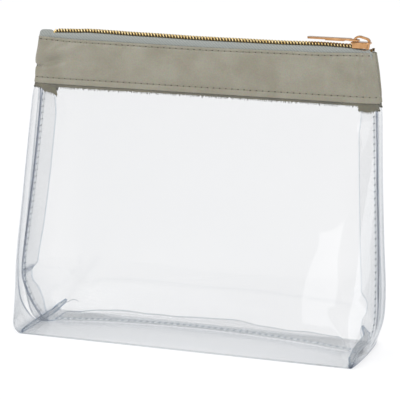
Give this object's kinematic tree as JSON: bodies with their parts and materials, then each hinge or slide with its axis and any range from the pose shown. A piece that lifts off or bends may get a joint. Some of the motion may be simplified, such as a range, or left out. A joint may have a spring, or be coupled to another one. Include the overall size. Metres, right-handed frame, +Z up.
{
  "type": "makeup bag",
  "caption": "Clear film pouch with a boxed base, a satin band round its mouth, and a coil zip with a sliding head and a swinging flat puller.",
  "frame": {"origin": "middle of the base, at the height of the surface that the bag stands on", "axes": "+X along the zip towards the slider's closed end, -Y to the front, +Z up"},
  "size_m": [0.189, 0.052, 0.1521],
  "materials": {
    "film": "clear flexible film",
    "film_thread": "fine synthetic thread",
    "satin": "satin weave with a soft sheen",
    "band_thread": "matching thread",
    "zip_tape": "herringbone woven tape",
    "coil_gold": "metallised gold coil",
    "zip_gold": "polished gold plating"
  },
  "bodies": {
    "base": {"front_base_film": "film", "back_base_film": "film", "left_corner_flange": "film", "right_corner_flange": "film", "bottom_seam_thread": "film_thread", "left_corner_thread": "film_thread", "right_corner_thread": "film_thread", "left_side_thread": "film_thread", "right_side_thread": "film_thread", "bottom_stop": "zip_gold"},
    "front_wall": {"front_film": "film", "front_band": "satin", "front_lining": "satin", "front_tape": "zip_tape", "front_coil": "coil_gold", "front_top_stop": "zip_gold", "front_upper_thread": "band_thread", "front_lower_thread": "band_thread"},
    "back_wall": {"back_film": "film", "back_band": "satin", "back_lining": "satin", "back_tape": "zip_tape", "back_coil": "coil_gold", "back_top_stop": "zip_gold", "back_upper_thread": "band_thread", "back_lower_thread": "band_thread"},
    "slider": {"slider_body": "zip_gold"},
    "puller": {"puller": "zip_gold"}
  },
  "joints": [
    {"name": "slider_travel", "type": "slide", "parent": "base", "child": "slider", "axis": [-1, 0, 0], "range_m": [0, 0.147], "deforming": ["front_tape", "back_tape", "front_coil", "back_coil"]},
    {"name": "puller_swing", "type": "hinge", "parent": "slider", "child": "puller", "pos_m": [0.0754, 0, 0.14975], "axis": [0, 1, 0], "range_deg": [0, 120]},
    {"name": "front_open", "type": "hinge", "parent": "base", "child": "front_wall", "pos_m": [0, -0.026, 0.0004], "axis": [1, 0, 0], "range_deg": [0, 8], "deforming": ["front_tape", "front_coil"]},
    {"name": "back_open", "type": "hinge", "parent": "base", "child": "back_wall", "pos_m": [0, 0.026, 0.0004], "axis": [-1, 0, 0], "range_deg": [0, 8], "deforming": ["back_tape", "back_coil"]}
  ],
  "couplings": [
    {"joint": "front_open", "follows": "slider_travel", "rad_per_m": 0.948},
    {"joint": "back_open", "follows": "slider_travel", "rad_per_m": 0.948}
  ]
}
